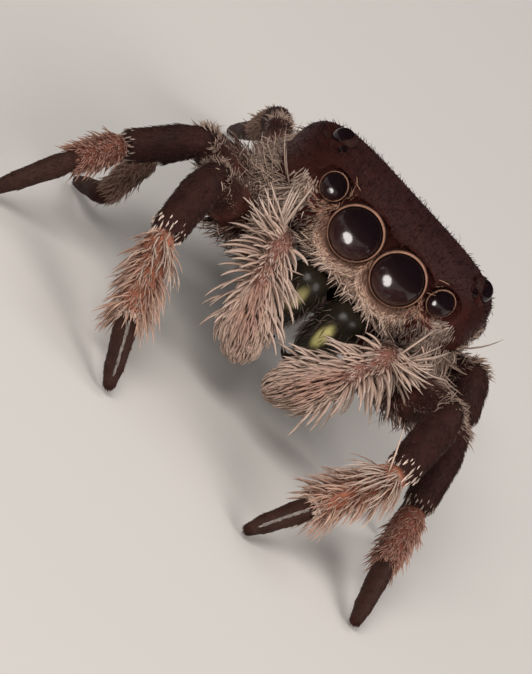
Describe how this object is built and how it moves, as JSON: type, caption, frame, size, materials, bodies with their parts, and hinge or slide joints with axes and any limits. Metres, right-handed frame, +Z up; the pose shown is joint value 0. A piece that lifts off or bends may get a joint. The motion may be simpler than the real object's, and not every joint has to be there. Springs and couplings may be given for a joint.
{
  "type": "jumping spider",
  "caption": "Life-size still jumping spider standing with its head raised, with large front eyes, pale bristly palps and banded legs.",
  "frame": {"origin": "on the floor below the middle of the model's box", "axes": "+Z up; the spider faces -Y, so +Y runs back to the spinnerets and +X is the spider's own left"},
  "size_m": [0.0096, 0.016, 0.0042],
  "materials": {
    "cuticle": "dark reddish-brown cuticle with short soft hair",
    "tibia": "rusty orange cuticle under long cream hair",
    "foot": "black-brown cuticle with a pale line of hair",
    "palp_hair": "dense cream hair over a rusty middle line",
    "abdomen_coat": "short brown-black hair with pale marks",
    "jaw": "dark olive green, glossy",
    "eye": "clear black-brown lens, mirror smooth"
  },
  "bodies": {
    "root": {"abdomen": "abdomen_coat", "carapace": "cuticle", "chelicera_left": "jaw", "chelicera_right": "jaw", "eye_front_middle_left": "eye", "eye_front_middle_right": "eye", "eye_front_side_left": "eye", "eye_front_side_right": "eye", "eye_rear_left": "eye", "eye_rear_right": "eye", "eye_small_left": "eye", "eye_small_right": "eye", "leg1_left_coxa": "cuticle", "leg1_left_femur": "cuticle", "leg1_left_foot": "foot", "leg1_left_patella": "cuticle", "leg1_left_tibia": "tibia", "leg1_right_coxa": "cuticle", "leg1_right_femur": "cuticle", "leg1_right_foot": "foot", "leg1_right_patella": "cuticle", "leg1_right_tibia": "tibia", "leg2_left_coxa": "cuticle", "leg2_left_femur": "cuticle", "leg2_left_foot": "foot", "leg2_left_patella": "cuticle", "leg2_left_tibia": "tibia", "leg2_right_coxa": "cuticle", "leg2_right_femur": "cuticle", "leg2_right_foot": "foot", "leg2_right_patella": "cuticle", "leg2_right_tibia": "tibia", "leg3_left_coxa": "cuticle", "leg3_left_femur": "cuticle", "leg3_left_foot": "foot", "leg3_left_patella": "cuticle", "leg3_left_tibia": "tibia", "leg3_right_coxa": "cuticle", "leg3_right_femur": "cuticle", "leg3_right_foot": "foot", "leg3_right_patella": "cuticle", "leg3_right_tibia": "tibia", "leg4_left_coxa": "cuticle", "leg4_left_femur": "cuticle", "leg4_left_foot": "foot", "leg4_left_patella": "cuticle", "leg4_left_tibia": "tibia", "leg4_right_coxa": "cuticle", "leg4_right_femur": "cuticle", "leg4_right_foot": "foot", "leg4_right_patella": "cuticle", "leg4_right_tibia": "tibia", "palp_lower_left": "palp_hair", "palp_lower_right": "palp_hair", "palp_upper_left": "cuticle", "palp_upper_right": "cuticle", "spinnerets": "cuticle", "sternum": "cuticle", "waist": "cuticle"}
  },
  "joints": []
}
